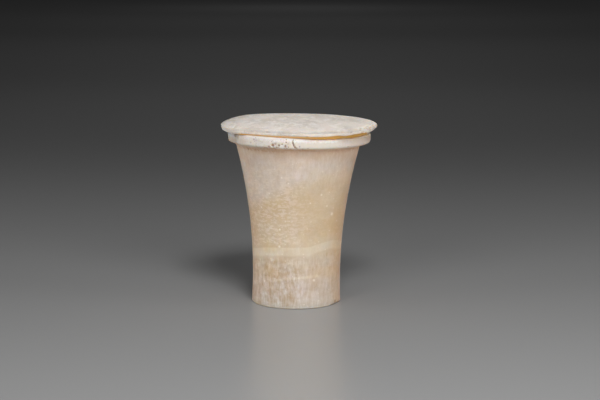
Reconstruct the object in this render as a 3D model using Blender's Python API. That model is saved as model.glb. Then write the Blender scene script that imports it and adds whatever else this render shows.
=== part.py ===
"""A footed stone ointment jar with a flaring body, a rolled rim and a loose disc lid, in metres, +Z up.

The origin is the centre of the jar's underside. The jar was worked by hand, so its body leans a
little to +X, its rim slopes down to +X with it, and the rim's -X end is worn back.
"""

import math

import bmesh
import bpy

# Jar, from the ground up. Heights are measured on the jar's own axis.
JAR_HEIGHT = 0.0853
FOOT_RADIUS = 0.0223
FOOT_EDGE = 0.0005
WAIST_RADIUS = 0.0220
WAIST_HEIGHT = 0.014
NECK_RADIUS = 0.0307
WALL = 0.005
FLOOR_THICKNESS = 0.008
FLOOR_FILLET = 0.006

# Rim: a roll with an upright face and a sloping underside.
RIM_HEIGHT = 0.0067
RIM_PROJECTION = 0.0053
RIM_FACE_HEIGHT = 0.0031
RIM_ROLL = 0.0014
RIM_ROLL_TURN_DEG = 65.0
RIM_HOLLOW_POWER = 1.8
RIM_TOP_EDGE = 0.0006
MOUTH_EDGE = 0.0008

# Handwork and wear.
LEAN_DEG = 0.72
RIM_SLOPE_DEG = 0.6
RIM_WEAR_DEPTH = 0.0010
RIM_WEAR_ROUNDING = 0.0009
RIM_WEAR_BEARING_DEG = -92.0
RIM_WEAR_HALF_ANGLE_DEG = 38.0
RIM_WEAR_FADE_DEG = 8.0

# Lid, measured from the underside of its disc.
LID_THICKNESS = 0.0052
LID_OVERHANG = 0.0027
LID_SHIFT = 0.0004
LID_UNDERCUT = 0.0033
LID_UNDERCUT_RISE = 0.0014
LID_SIDE_TURN_DEG = 70.0
LID_SIDE_ROUND = 0.0009
LID_SIDE_RISE = 0.0013
LID_TOP_EDGE_DROP = 0.0016
LID_TOP_EDGE_WIDTH = 0.0032
LID_GAP = 0.0003

# Chips along the lid's lower edge: where each lies, and how far in and up it goes.
LID_CHIP_FADE_DEG = 14.0
LID_CHIPS = (
    {"bearing_deg": 90.0, "half_angle_deg": 34.0, "depth": 0.0016, "rise": 0.0003},
    {"bearing_deg": -20.0, "half_angle_deg": 30.0, "depth": 0.0006, "rise": 0.0005},
)

# Locating boss under the lid.
BOSS_HEIGHT = 0.0024
BOSS_CLEARANCE = 0.0009
BOSS_EDGE = 0.0006

# Fineness of the turned surfaces.
SIDES = 64
BODY_RINGS = 18
WELL_RINGS = 9
FILLET_STEPS = 4
EDGE_STEPS = 3

RIM_RADIUS = NECK_RADIUS + RIM_PROJECTION
LID_RADIUS = RIM_RADIUS + LID_OVERHANG
NECK_HEIGHT = JAR_HEIGHT - RIM_HEIGHT
LID_UNDERSIDE = JAR_HEIGHT + LID_GAP


def body_radius(height):
    """Outer radius of the body: a parabola that opens upwards and downwards from the waist."""
    rise = height - WAIST_HEIGHT
    if rise > 0.0:
        share = rise / (NECK_HEIGHT - WAIST_HEIGHT)
        return WAIST_RADIUS + (NECK_RADIUS - WAIST_RADIUS) * share**2
    share = rise / WAIST_HEIGHT
    return WAIST_RADIUS + (FOOT_RADIUS - WAIST_RADIUS) * share**2


def well_radius(height):
    """Radius of the hollow, one wall inside the body's curve."""
    return body_radius(height) - WALL


def evenly(first, last, steps):
    """The values from first to last in equal steps, both ends included."""
    return [first + (last - first) * step / steps for step in range(steps + 1)]


def arc(centre, radius_out, radius_up, start_deg, end_deg, steps):
    """Points (radius, height) along part of an ellipse, turned from +radius towards +height."""
    points = []
    for angle in evenly(math.radians(start_deg), math.radians(end_deg), steps):
        out = centre[0] + radius_out * math.cos(angle)
        up = centre[1] + radius_up * math.sin(angle)
        points.append((out, up))
    return points


def rim_profile():
    """Outer side of the rim, from the neck up to its top edge."""
    roll_centre = (RIM_RADIUS - RIM_ROLL, JAR_HEIGHT - RIM_FACE_HEIGHT)
    roll = arc(roll_centre, RIM_ROLL, RIM_ROLL, -RIM_ROLL_TURN_DEG, 0.0, FILLET_STEPS)
    out = roll[0][0] - NECK_RADIUS
    up = roll[0][1] - NECK_HEIGHT
    points = []
    for share in evenly(0.0, 1.0, FILLET_STEPS)[1:-1]:
        points.append((NECK_RADIUS + out * share**RIM_HOLLOW_POWER, NECK_HEIGHT + up * share))
    points += roll
    points += arc(
        (RIM_RADIUS - RIM_TOP_EDGE, JAR_HEIGHT - RIM_TOP_EDGE),
        RIM_TOP_EDGE,
        RIM_TOP_EDGE,
        0.0,
        90.0,
        EDGE_STEPS,
    )
    return points


def well_profile():
    """The hollow, from the mouth's rounded edge down to the middle of the floor."""
    mouth = well_radius(JAR_HEIGHT)
    points = arc(
        (mouth + MOUTH_EDGE, JAR_HEIGHT - MOUTH_EDGE), MOUTH_EDGE, MOUTH_EDGE, 90.0, 180.0, EDGE_STEPS
    )
    fillet_top = FLOOR_THICKNESS + FLOOR_FILLET
    for height in evenly(JAR_HEIGHT - MOUTH_EDGE, fillet_top, WELL_RINGS)[1:]:
        points.append((well_radius(height), height))
    fillet_radius = well_radius(fillet_top)
    points += arc(
        (fillet_radius - FLOOR_FILLET, fillet_top), FLOOR_FILLET, FLOOR_FILLET, 0.0, -90.0, FILLET_STEPS
    )[1:]
    points.append((0.0, FLOOR_THICKNESS))
    return points


def jar_profile():
    """The jar's half section: underside, body, rim, then the hollow."""
    points = [(0.0, 0.0), (FOOT_RADIUS - FOOT_EDGE, 0.0)]
    for height in evenly(FOOT_EDGE, NECK_HEIGHT, BODY_RINGS):
        points.append((body_radius(height), height))
    return points + rim_profile() + well_profile()


def lid_profile():
    """The lid's half section: boss, flat seat, undercut, side and top."""
    seat = LID_UNDERSIDE
    top = seat + LID_THICKNESS
    boss_bottom = seat - BOSS_HEIGHT
    boss_radius = well_radius(boss_bottom) - BOSS_CLEARANCE
    points = [(0.0, boss_bottom)]
    points += arc(
        (boss_radius - BOSS_EDGE, boss_bottom + BOSS_EDGE), BOSS_EDGE, BOSS_EDGE, -90.0, 0.0, EDGE_STEPS
    )
    points.append((boss_radius, seat))
    points.append((LID_RADIUS - LID_UNDERCUT, seat))
    side_bottom = seat + LID_UNDERCUT_RISE + LID_SIDE_RISE
    points += arc(
        (LID_RADIUS - LID_SIDE_ROUND, side_bottom),
        LID_SIDE_ROUND,
        LID_SIDE_RISE,
        -LID_SIDE_TURN_DEG,
        0.0,
        FILLET_STEPS,
    )
    points += arc(
        (LID_RADIUS - LID_TOP_EDGE_WIDTH, top - LID_TOP_EDGE_DROP),
        LID_TOP_EDGE_WIDTH,
        LID_TOP_EDGE_DROP,
        0.0,
        90.0,
        FILLET_STEPS,
    )
    points.append((0.0, top))
    return points


def degrees_from(x, y, bearing_deg):
    """Degrees around the axis from a bearing: 0 is the front (-Y) and +90 is +X."""
    bearing = math.degrees(math.atan2(x, -y))
    return abs((bearing - bearing_deg + 180.0) % 360.0 - 180.0)


def smooth_share(value):
    """0 below 0 and 1 above 1, with an easy start and end between them."""
    value = min(max(value, 0.0), 1.0)
    return value * value * (3.0 - 2.0 * value)


def worn_back(x, y, height):
    """A point of the rim's outer side, moved in where the rim is worn, most along its lower edge."""
    radius = math.hypot(x, y)
    kept = max(NECK_RADIUS, well_radius(JAR_HEIGHT) + MOUTH_EDGE)
    if radius <= kept or height <= NECK_HEIGHT:
        return x, y, height
    away = degrees_from(x, y, RIM_WEAR_BEARING_DEG)
    around = smooth_share((RIM_WEAR_HALF_ANGLE_DEG - away) / RIM_WEAR_FADE_DEG)
    outward = smooth_share((radius - kept) / (RIM_RADIUS - kept))
    rounding = RIM_WEAR_ROUNDING * (JAR_HEIGHT - height) / RIM_HEIGHT
    share = 1.0 - (RIM_WEAR_DEPTH + rounding) * around * outward / radius
    return x * share, y * share, height


def chipped(x, y, height):
    """A point of the lid's lower edge, moved in and up where the edge is chipped."""
    side_bottom = LID_UNDERSIDE + LID_UNDERCUT_RISE + LID_SIDE_RISE
    radius = math.hypot(x, y)
    if radius < LID_RADIUS - LID_UNDERCUT - 1e-6 or height > side_bottom:
        return x, y, height
    lowness = (side_bottom - height) / (side_bottom - LID_UNDERSIDE)
    inward = 0.0
    for chip in LID_CHIPS:
        away = degrees_from(x, y, chip["bearing_deg"])
        around = smooth_share((chip["half_angle_deg"] - away) / LID_CHIP_FADE_DEG)
        inward += chip["depth"] * around * lowness
        height += chip["rise"] * around * smooth_share(4.0 * lowness * (1.0 - lowness))
    share = 1.0 - inward / radius
    return x * share, y * share, height


def slope_share(height):
    """How much of the rim's slope a height takes: none at the foot, all of it from the neck up."""
    return smooth_share(height / NECK_HEIGHT)


def leaned(x, y, height):
    """Where a point of the turned form lies on the hand-made jar."""
    drop = slope_share(height) * math.tan(math.radians(RIM_SLOPE_DEG)) * x
    return (x + height * math.tan(math.radians(LEAN_DEG)), y, height - drop)


def turned(name, profile):
    """A closed mesh turned from a half section whose two ends are on the axis."""
    work = bmesh.new()
    verts = [work.verts.new((radius, 0.0, height)) for radius, height in profile]
    edges = [work.edges.new(pair) for pair in zip(verts, verts[1:])]
    bmesh.ops.spin(
        work,
        geom=verts + edges,
        axis=(0.0, 0.0, 1.0),
        cent=(0.0, 0.0, 0.0),
        angle=2.0 * math.pi,
        steps=SIDES,
        use_merge=True,
    )
    bmesh.ops.remove_doubles(work, verts=work.verts, dist=1e-6)
    bmesh.ops.recalc_face_normals(work, faces=work.faces)
    mesh = bpy.data.meshes.new(name)
    work.to_mesh(mesh)
    work.free()
    return mesh


def stone(name, colour, roughness):
    """A plain stone material."""
    material = bpy.data.materials.new(name)
    material.use_nodes = True
    shader = material.node_tree.nodes["Principled BSDF"]
    shader.inputs["Base Color"].default_value = (*colour, 1.0)
    shader.inputs["Roughness"].default_value = roughness
    shader.inputs["Metallic"].default_value = 0.0
    return material


def place(name, mesh, material):
    """Adds the mesh to the scene as one named piece, shaded smooth but for its sharp edges."""
    piece = bpy.data.objects.new(name, mesh)
    bpy.context.scene.collection.objects.link(piece)
    mesh.materials.append(material)
    mesh.shade_smooth()
    mesh.set_sharp_from_angle(angle=math.radians(40.0))
    return piece


def make_jar():
    """The vessel, turned, then leaned, with the rim's -X end worn back."""
    mesh = turned("jar", jar_profile())
    for vertex in mesh.vertices:
        vertex.co = leaned(*worn_back(*vertex.co))
    return place("jar", mesh, stone("banded travertine", (0.60, 0.46, 0.32), 0.45))


def make_lid():
    """The lid, turned and then laid on the sloping rim, a little off the jar's centre."""
    mesh = turned("lid", lid_profile())
    for vertex in mesh.vertices:
        x, y, height = chipped(*vertex.co)
        if height > LID_UNDERSIDE - 0.5 * LID_GAP:
            x += LID_SHIFT * min(1.0, math.hypot(x, y) / LID_RADIUS)
        vertex.co = leaned(x, y, height)
    return place("lid", mesh, stone("pale travertine", (0.62, 0.55, 0.48), 0.5))


def main():
    """Clears the scene and makes both pieces."""
    for old in list(bpy.data.objects):
        bpy.data.objects.remove(old, do_unlink=True)
    make_jar()
    make_lid()


main()
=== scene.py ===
# %% [markdown]
# # A travertine ointment jar
# The jar is a small stone vessel, about nine centimetres high. Its body flares upwards from a
# narrow foot, a heavy rolled rim goes round the mouth, and a loose disc of the same stone closes
# it. The stone is travertine, a banded calcite that lets a little light through.
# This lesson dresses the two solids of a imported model. Each solid is replaced by a finer mesh
# of the same form, with the wear that the plain solid leaves out, and both get materials
# made only of nodes.

# %% Load the fixed frame
import math

import bmesh
import bpy
import numpy as np
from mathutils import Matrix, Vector


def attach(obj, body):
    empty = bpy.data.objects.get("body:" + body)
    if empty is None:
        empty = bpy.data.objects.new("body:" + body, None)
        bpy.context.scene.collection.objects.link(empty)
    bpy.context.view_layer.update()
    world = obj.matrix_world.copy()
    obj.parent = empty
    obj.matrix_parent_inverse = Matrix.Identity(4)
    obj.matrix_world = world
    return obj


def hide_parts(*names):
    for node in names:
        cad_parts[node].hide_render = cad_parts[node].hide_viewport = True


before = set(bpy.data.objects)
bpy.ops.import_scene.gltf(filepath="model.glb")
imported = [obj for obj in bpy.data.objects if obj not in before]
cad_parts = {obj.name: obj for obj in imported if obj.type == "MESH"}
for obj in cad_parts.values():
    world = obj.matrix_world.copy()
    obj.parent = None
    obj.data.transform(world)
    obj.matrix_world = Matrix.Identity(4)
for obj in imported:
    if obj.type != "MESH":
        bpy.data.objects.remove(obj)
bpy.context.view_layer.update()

print("nodes:", sorted(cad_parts))

# %% [markdown]
# ## Sizes
# These are the maker's sizes of the jar and lid, in metres. Heights are measured on the jar's own
# axis from the ground, before the jar's slight lean is put in. They are the sizes of the solids,
# so the finer meshes lie on them. Only the foot's edge is finer here, as sharp as on the stone.

# %% Sizes of the jar and the lid
JAR_HEIGHT = 0.0853
FOOT_RADIUS = 0.0223
FOOT_EDGE = 0.00015
WAIST_RADIUS = 0.0220
WAIST_HEIGHT = 0.014
NECK_RADIUS = 0.0307
WALL = 0.005
FLOOR_THICKNESS = 0.008
FLOOR_FILLET = 0.006

RIM_HEIGHT = 0.0067
RIM_PROJECTION = 0.0053
RIM_FACE_HEIGHT = 0.0031
RIM_ROLL = 0.0014
RIM_ROLL_TURN_DEG = 65.0
RIM_HOLLOW_POWER = 1.8
RIM_TOP_EDGE = 0.0006
MOUTH_EDGE = 0.0008

LID_THICKNESS = 0.0052
LID_OVERHANG = 0.0027
LID_SHIFT = 0.0004
LID_UNDERCUT = 0.0033
LID_UNDERCUT_RISE = 0.0014
LID_SIDE_TURN_DEG = 70.0
LID_SIDE_ROUND = 0.0009
LID_SIDE_RISE = 0.0013
LID_TOP_EDGE_DROP = 0.0016
LID_TOP_EDGE_WIDTH = 0.0032
LID_GAP = 0.0003
BOSS_HEIGHT = 0.0024
BOSS_CLEARANCE = 0.0009
BOSS_EDGE = 0.0006

LEAN_DEG = 0.72
RIM_SLOPE_DEG = 0.6

RIM_RADIUS = NECK_RADIUS + RIM_PROJECTION
LID_RADIUS = RIM_RADIUS + LID_OVERHANG
NECK_HEIGHT = JAR_HEIGHT - RIM_HEIGHT
LID_UNDERSIDE = JAR_HEIGHT + LID_GAP
print("rim radius", RIM_RADIUS, "lid radius", LID_RADIUS, "neck height", NECK_HEIGHT)

# %% [markdown]
# ## Half sections
# A turned vessel is fully described by half of its section. A turner cuts such a curve with a few
# strokes, and each stroke here is an arc, a straight line or a parabola, sampled as finely as its
# place needs: closely at the rim, where the wear sits, and widely inside, where nothing shows.


# %% Strokes of a half section
def evenly(first, last, steps):
    """The values from first to last in equal steps, both ends included."""
    return [first + (last - first) * step / steps for step in range(steps + 1)]


def arc(centre, radius_out, radius_up, start_deg, end_deg, steps):
    """Points (radius, height) along part of an ellipse, turned from outwards towards up."""
    points = []
    for angle in evenly(math.radians(start_deg), math.radians(end_deg), steps):
        out = centre[0] + radius_out * math.cos(angle)
        up = centre[1] + radius_up * math.sin(angle)
        points.append((out, up))
    return points


def line(start, end, steps):
    """Points along a straight stroke, without its first point."""
    outs = evenly(start[0], end[0], steps)
    ups = evenly(start[1], end[1], steps)
    return list(zip(outs, ups))[1:]


def body_radius(height):
    """Outer radius of the body: a parabola that opens upwards and downwards from the waist."""
    rise = height - WAIST_HEIGHT
    if rise > 0.0:
        share = rise / (NECK_HEIGHT - WAIST_HEIGHT)
        return WAIST_RADIUS + (NECK_RADIUS - WAIST_RADIUS) * share**2
    share = rise / WAIST_HEIGHT
    return WAIST_RADIUS + (FOOT_RADIUS - WAIST_RADIUS) * share**2


def well_radius(height):
    """Radius of the hollow, one wall inside the body's curve."""
    return body_radius(height) - WALL


print("radius of the mouth:", round(well_radius(JAR_HEIGHT), 5))

# %% Half section of the jar
FEW_RINGS = 5
BODY_RINGS = 84
RIM_RINGS = 14
RIM_TOP_RINGS = 18
WELL_RINGS = 24


def rim_section():
    """Outer side of the rim, from just above the neck to the end of its top edge."""
    roll_centre = (RIM_RADIUS - RIM_ROLL, JAR_HEIGHT - RIM_FACE_HEIGHT)
    roll = arc(roll_centre, RIM_ROLL, RIM_ROLL, -RIM_ROLL_TURN_DEG, 0.0, RIM_RINGS)
    out = roll[0][0] - NECK_RADIUS
    up = roll[0][1] - NECK_HEIGHT
    points = []
    for share in evenly(0.0, 1.0, RIM_RINGS)[1:-1]:
        points.append((NECK_RADIUS + out * share**RIM_HOLLOW_POWER, NECK_HEIGHT + up * share))
    points += roll
    edge_centre = (RIM_RADIUS - RIM_TOP_EDGE, JAR_HEIGHT - RIM_TOP_EDGE)
    edge = arc(edge_centre, RIM_TOP_EDGE, RIM_TOP_EDGE, 0.0, 90.0, FEW_RINGS)
    points += line(roll[-1], edge[0], RIM_RINGS)
    return points + edge[1:]


def well_section(rim_top):
    """The flat top of the rim, then the hollow, down to the middle of its floor."""
    mouth = well_radius(JAR_HEIGHT)
    mouth_centre = (mouth + MOUTH_EDGE, JAR_HEIGHT - MOUTH_EDGE)
    edge = arc(mouth_centre, MOUTH_EDGE, MOUTH_EDGE, 90.0, 180.0, FEW_RINGS)
    points = line(rim_top, edge[0], RIM_TOP_RINGS) + edge[1:]
    fillet_top = FLOOR_THICKNESS + FLOOR_FILLET
    for height in evenly(JAR_HEIGHT - MOUTH_EDGE, fillet_top, WELL_RINGS)[1:]:
        points.append((well_radius(height), height))
    fillet_centre = (well_radius(fillet_top) - FLOOR_FILLET, fillet_top)
    points += arc(fillet_centre, FLOOR_FILLET, FLOOR_FILLET, 0.0, -90.0, FEW_RINGS)[1:]
    return points + line(points[-1], (0.0, FLOOR_THICKNESS), FEW_RINGS)


def jar_section():
    """The jar from the middle of its underside, out, up, over the rim and down the hollow."""
    underside = (FOOT_RADIUS - FOOT_EDGE, 0.0)
    points = [(0.0, 0.0)] + line((0.0, 0.0), underside, FEW_RINGS)
    for height in evenly(FOOT_EDGE, NECK_HEIGHT, BODY_RINGS):
        points.append((body_radius(height), height))
    points += rim_section()
    return points + well_section(points[-1])


jar_points = jar_section()
print("half section of the jar:", len(jar_points), "points")

# %% Half section of the lid
LID_TOP_RINGS = 40
LID_SEAT_RINGS = 16


def lid_section():
    """The lid from the middle of its boss, out along the seat, up its side and over the top."""
    seat = LID_UNDERSIDE
    top = seat + LID_THICKNESS
    boss_bottom = seat - BOSS_HEIGHT
    boss_radius = well_radius(boss_bottom) - BOSS_CLEARANCE
    boss_centre = (boss_radius - BOSS_EDGE, boss_bottom + BOSS_EDGE)
    edge = arc(boss_centre, BOSS_EDGE, BOSS_EDGE, -90.0, 0.0, FEW_RINGS)
    points = [(0.0, boss_bottom)] + line((0.0, boss_bottom), edge[0], FEW_RINGS) + edge[1:]
    points += line(points[-1], (boss_radius, seat), FEW_RINGS)
    points += line(points[-1], (LID_RADIUS - LID_UNDERCUT, seat), LID_SEAT_RINGS)
    side_centre = (LID_RADIUS - LID_SIDE_ROUND, seat + LID_UNDERCUT_RISE + LID_SIDE_RISE)
    side = arc(side_centre, LID_SIDE_ROUND, LID_SIDE_RISE, -LID_SIDE_TURN_DEG, 0.0, RIM_RINGS)
    points += line(points[-1], side[0], RIM_RINGS) + side[1:]
    top_centre = (LID_RADIUS - LID_TOP_EDGE_WIDTH, top - LID_TOP_EDGE_DROP)
    over = arc(top_centre, LID_TOP_EDGE_WIDTH, LID_TOP_EDGE_DROP, 0.0, 90.0, RIM_RINGS)
    points += line(points[-1], over[0], RIM_RINGS // 2) + over[1:]
    return points + line(points[-1], (0.0, top), LID_TOP_RINGS)


lid_points = lid_section()
print("half section of the lid:", len(lid_points), "points")

# %% [markdown]
# ## Node helpers
# Geometry and shader trees are both made of nodes and links. A small class stands for one output
# of a node, so that a tree can be written as sums and products, like a recipe. Inputs are filled
# by name, with a link from such a value or with a plain number or colour.


# %% Values in a node tree
class Value:
    """One output of a node. Sums, differences, products and quotients add Math nodes."""

    def __init__(self, tree, node, output=0):
        self.tree = tree
        self.node = node
        self.socket = node.outputs[output]

    def __getitem__(self, output):
        return Value(self.tree, self.node, output)

    def maths(self, operation, *others):
        """The result of a Math node on this value and the others."""
        inputs = dict(enumerate((self, *others)))
        return add_node(self.tree, "ShaderNodeMath", inputs, operation=operation)

    def __add__(self, other):
        return self.maths("ADD", other)

    def __sub__(self, other):
        return self.maths("SUBTRACT", other)

    def __mul__(self, other):
        return self.maths("MULTIPLY", other)

    def __truediv__(self, other):
        return self.maths("DIVIDE", other)


def fill(node, inputs):
    """Fills inputs of a node, each with a link from a value or with a plain number or colour."""
    for name, value in inputs.items():
        socket = node.inputs[name]
        if isinstance(value, Value):
            value.tree.links.new(value.socket, socket)
        elif socket.type == "RGBA":
            socket.default_value = (*value, 1.0)
        else:
            socket.default_value = value


def add_node(tree, kind, inputs=None, **settings):
    """Adds a node, sets its options, fills its inputs and gives its first output."""
    node = tree.nodes.new(kind)
    for name, value in settings.items():
        setattr(node, name, value)
    fill(node, inputs or {})
    return Value(tree, node)


print("values and nodes ready")


# %% Trees with named inputs
def new_tree(name, kind, inputs, outputs):
    """An empty node tree with named inputs and outputs, as its inputs and its output node."""
    tree = bpy.data.node_groups.new(name, kind)
    for label, (socket_kind, value) in inputs.items():
        socket = tree.interface.new_socket(
            name=label, in_out="INPUT", socket_type="NodeSocket" + socket_kind
        )
        if value is not None:
            socket.default_value = value
    for label, socket_kind in outputs.items():
        tree.interface.new_socket(
            name=label, in_out="OUTPUT", socket_type="NodeSocket" + socket_kind
        )
    return Value(tree, tree.nodes.new("NodeGroupInput")), tree.nodes.new("NodeGroupOutput")


def label_of(name):
    """The label of an input, from the name of a Python argument."""
    return name.replace("_", " ").title()


def pressed_in(geometry, depth):
    """Moves a mesh in along its normals by a depth."""
    normal = add_node(geometry.tree, "GeometryNodeInputNormal")
    inputs = {0: normal, "Scale": depth * -1.0}
    inward = add_node(geometry.tree, "ShaderNodeVectorMath", inputs, operation="SCALE")
    inputs = {"Geometry": geometry, "Offset": inward}
    return add_node(geometry.tree, "GeometryNodeSetPosition", inputs)


def end_tree(geometry, material, result):
    """Ends a tree in Realize Instances and Set Material."""
    real = add_node(geometry.tree, "GeometryNodeRealizeInstances", {"Geometry": geometry})
    inputs = {"Geometry": real, "Material": material}
    fill(result, {0: add_node(geometry.tree, "GeometryNodeSetMaterial", inputs)})


print("node helpers ready")

# %% [markdown]
# ## Turning the form
# The body could be spun with a Screw modifier, but then each point would be the same all the way
# round. A Geometry Nodes tree wraps a grid round the axis instead: each row takes its radius and
# height from one point of the half section, and each column takes its angle. Columns crowd
# towards the front, where the finest wear is. The same tree then takes a hair of stone away by
# a slow noise, as rubbing with sand leaves it, so that no highlight runs dead straight.


# %% Tree that turns a half section
def turning_tree():
    """Wraps a grid round the axis along a half section and wears it by a slow noise."""
    inputs = {
        "Half Section": ("Geometry", None),
        "Sides": ("Int", 400),
        "Section Points": ("Int", 100),
        "Crowding": ("Float", 0.0),
        "Handwork Depth": ("Float", 0.0),
        "Handwork Scale": ("Float", 60.0),
        "Seed": ("Int", 0),
        "Stone": ("Material", None),
    }
    given, result = new_tree(
        "turned stone", "GeometryNodeTree", inputs, {"Turned Form": "Geometry"}
    )
    tree = given.tree
    rows = given["Section Points"]
    grid = add_node(
        tree, "GeometryNodeMeshGrid", {"Vertices X": given["Sides"] + 1.0, "Vertices Y": rows}
    )
    index = {0: add_node(tree, "GeometryNodeInputIndex"), 1: rows}
    column = add_node(tree, "FunctionNodeIntegerMath", index, operation="DIVIDE_FLOOR")
    row = add_node(tree, "FunctionNodeIntegerMath", index, operation="MODULO")
    place = add_node(tree, "GeometryNodeInputPosition")
    section = add_node(
        tree,
        "GeometryNodeSampleIndex",
        {"Geometry": given["Half Section"], "Value": place, "Index": row},
        data_type="FLOAT_VECTOR",
    )
    section = add_node(tree, "ShaderNodeSeparateXYZ", {0: section})
    turn = column / given["Sides"] * math.tau
    angle = turn - turn.maths("SINE") * given["Crowding"]
    x = section["X"] * angle.maths("SINE")
    y = section["X"] * angle.maths("COSINE") * -1.0
    wrapped = add_node(tree, "ShaderNodeCombineXYZ", {"X": x, "Y": y, "Z": section["Z"]})
    form = add_node(tree, "GeometryNodeSetPosition", {"Geometry": grid, "Position": wrapped})
    closed = add_node(
        tree, "GeometryNodeMergeByDistance", {"Geometry": form, "Distance": 2e-6}
    )
    rubbing = add_node(
        tree,
        "ShaderNodeTexNoise",
        {"Vector": place, "W": given["Seed"], "Scale": given["Handwork Scale"], "Detail": 1.5},
        noise_dimensions="4D",
    )
    worn = pressed_in(closed, rubbing * given["Handwork Depth"])
    end_tree(worn, given["Stone"], result)
    return tree


turning = turning_tree()
print("turning tree:", len(turning.nodes), "nodes")

# %% [markdown]
# ## From tree to plain mesh
# A modifier keeps a tree live, but the carving that follows moves single points, and an exported
# part needs plain meshes. So each tree is run once, its result is taken as a new mesh, and the
# modifier is removed. The inputs are set by their identifiers, which stay the same when a
# label changes. The faces are then turned outwards, because a grid wrapped round an axis can
# end up inside out.


# %% Run a tree on a piece and keep the result
def run_tree(piece, tree, **inputs):
    """Runs a geometry tree on the piece and leaves its result as the piece's plain mesh."""
    modifier = piece.modifiers.new(tree.name, "NODES")
    modifier.node_group = tree
    for name, value in inputs.items():
        modifier[tree.interface.items_tree[label_of(name)].identifier] = value
    evaluated = piece.evaluated_get(bpy.context.evaluated_depsgraph_get())
    old_mesh = piece.data
    piece.data = bpy.data.meshes.new_from_object(evaluated)
    piece.modifiers.remove(modifier)
    bpy.data.meshes.remove(old_mesh)
    piece.data.name = piece.name


def face_outwards(mesh):
    """Turns every face of a closed mesh outwards and shades it smooth."""
    work = bmesh.new()
    work.from_mesh(mesh)
    bmesh.ops.recalc_face_normals(work, faces=work.faces)
    work.to_mesh(mesh)
    work.free()
    mesh.shade_smooth()


def new_object(name, data):
    """A new object in the scene."""
    made = bpy.data.objects.new(name, data)
    bpy.context.scene.collection.objects.link(made)
    return made


def turned_piece(name, section, **inputs):
    """A new object turned from a half section."""
    mesh = bpy.data.meshes.new(name)
    mesh.from_pydata([(radius, 0.0, height) for radius, height in section], [], [])
    piece = new_object(name, mesh)
    run_tree(piece, turning, section_points=len(section), sides=400, crowding=0.45, **inputs)
    face_outwards(piece.data)
    print(name, "turned:", len(piece.data.vertices), "points,", len(piece.data.polygons), "faces")
    return piece


print("ready to run:", turning.name)

# %% Turn both pieces
jar_stone = bpy.data.materials.new("honey banded travertine")
lid_stone = bpy.data.materials.new("pale clouded travertine")
jar = turned_piece(
    "banded_jar", jar_points, stone=jar_stone, handwork_depth=0.00012, handwork_scale=55.0, seed=3
)
lid = turned_piece(
    "disc_lid", lid_points, stone=lid_stone, handwork_depth=0.00016, handwork_scale=70.0, seed=8
)

# %% [markdown]
# ## Carving by moving points
# The jar is not quite what a lathe would leave. Its rim is worn back at one end, the lid is
# chipped, and everything leans a little. Sculpting by hand could do this, but moves written as
# small functions can be read, measured and repeated. Each one selects its points by bearing,
# height and radius, with soft limits, and moves them by a named depth. A bearing is an angle
# round the axis: 0 is the front, and +90 is the +X side. A sector is three angles: its bearing,
# how far it reaches to each side, and how much of that is a fade. A course is a value that
# changes along the bearings, given at a few stops.


# %% Helpers that select points
def read_points(mesh):
    """The mesh's points as an array of rows (x, y, height)."""
    flat = np.empty(3 * len(mesh.vertices))
    mesh.vertices.foreach_get("co", flat)
    return flat.reshape(-1, 3)


def ease(value):
    """0 below 0 and 1 above 1, with an easy start and end between them."""
    value = np.clip(value, 0.0, 1.0)
    return value * value * (3.0 - 2.0 * value)


def between(value, start, end):
    """Rises softly from 0 at start to 1 at end, whichever of the two is larger."""
    return ease((value - start) / (end - start))


def masked(step, where, limits):
    """The product of soft steps, each between two limits of one of the named measures."""
    first, *others = [step(where[name], *ends) for name, *ends in limits]
    return math.prod(others, start=first)


def radii(points):
    """The distance of each point from the axis."""
    return np.hypot(points[:, 0], points[:, 1])


def bearings(points):
    """The bearing of each point, in degrees."""
    return np.degrees(np.arctan2(points[:, 0], -points[:, 1]))


def sector(points, bearing_deg, half_angle_deg, fade_deg):
    """1 within an angle of a bearing, fading to 0 at half_angle_deg."""
    away = np.abs((bearings(points) - bearing_deg + 180.0) % 360.0 - 180.0)
    return ease((half_angle_deg - away) / fade_deg)


def along(points, course):
    """The value of a course, given as (bearing, value) stops, at each point's bearing."""
    stops, values = zip(*course)
    return np.interp(bearings(points), stops, values)


def hollow(points, bearing_deg, height, size, stretch):
    """How deep each point lies in a small round hollow: 1 at its middle, 0 outside it."""
    across = radii(points) * np.radians(bearings(points) - bearing_deg)
    distance = np.hypot(across / stretch, points[:, 2] - height)
    return np.clip(1.0 - (distance / size) ** 2, 0.0, 1.0) ** 2


print("jar points to select from:", len(jar.data.vertices))


# %% Helpers that move points
def moved(points, depth, rise):
    """Moves points towards the axis and up, each by its own amounts."""
    radius = np.maximum(radii(points), 1e-9)
    share = 1.0 - depth / radius
    return np.column_stack((points[:, 0] * share, points[:, 1] * share, points[:, 2] + rise))


def leaned(points):
    """Leans the turned form to +X and slopes its rim down with it."""
    height = points[:, 2]
    drop = ease(height / NECK_HEIGHT) * math.tan(math.radians(RIM_SLOPE_DEG)) * points[:, 0]
    x = points[:, 0] + height * math.tan(math.radians(LEAN_DEG))
    return np.column_stack((x, points[:, 1], height - drop))


print("the rim leans out by mm:", round(1000.0 * JAR_HEIGHT * math.tan(math.radians(LEAN_DEG)), 2))

# %% [markdown]
# ## The rim of the jar
# The rim is a thick roll, left chalky and bright across the front and worn back and stained at
# its -X end. Its top lip stands a little higher at the front left and lower at the right, the
# lower edge of the roll sags unevenly, and the top is worn down at the +X end. A few pits and a
# short crack mark the front face, and the foot has a small chip. A course tells how far the lip
# or the edge moves at each bearing, and the small marks are a list of hollows.

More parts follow.
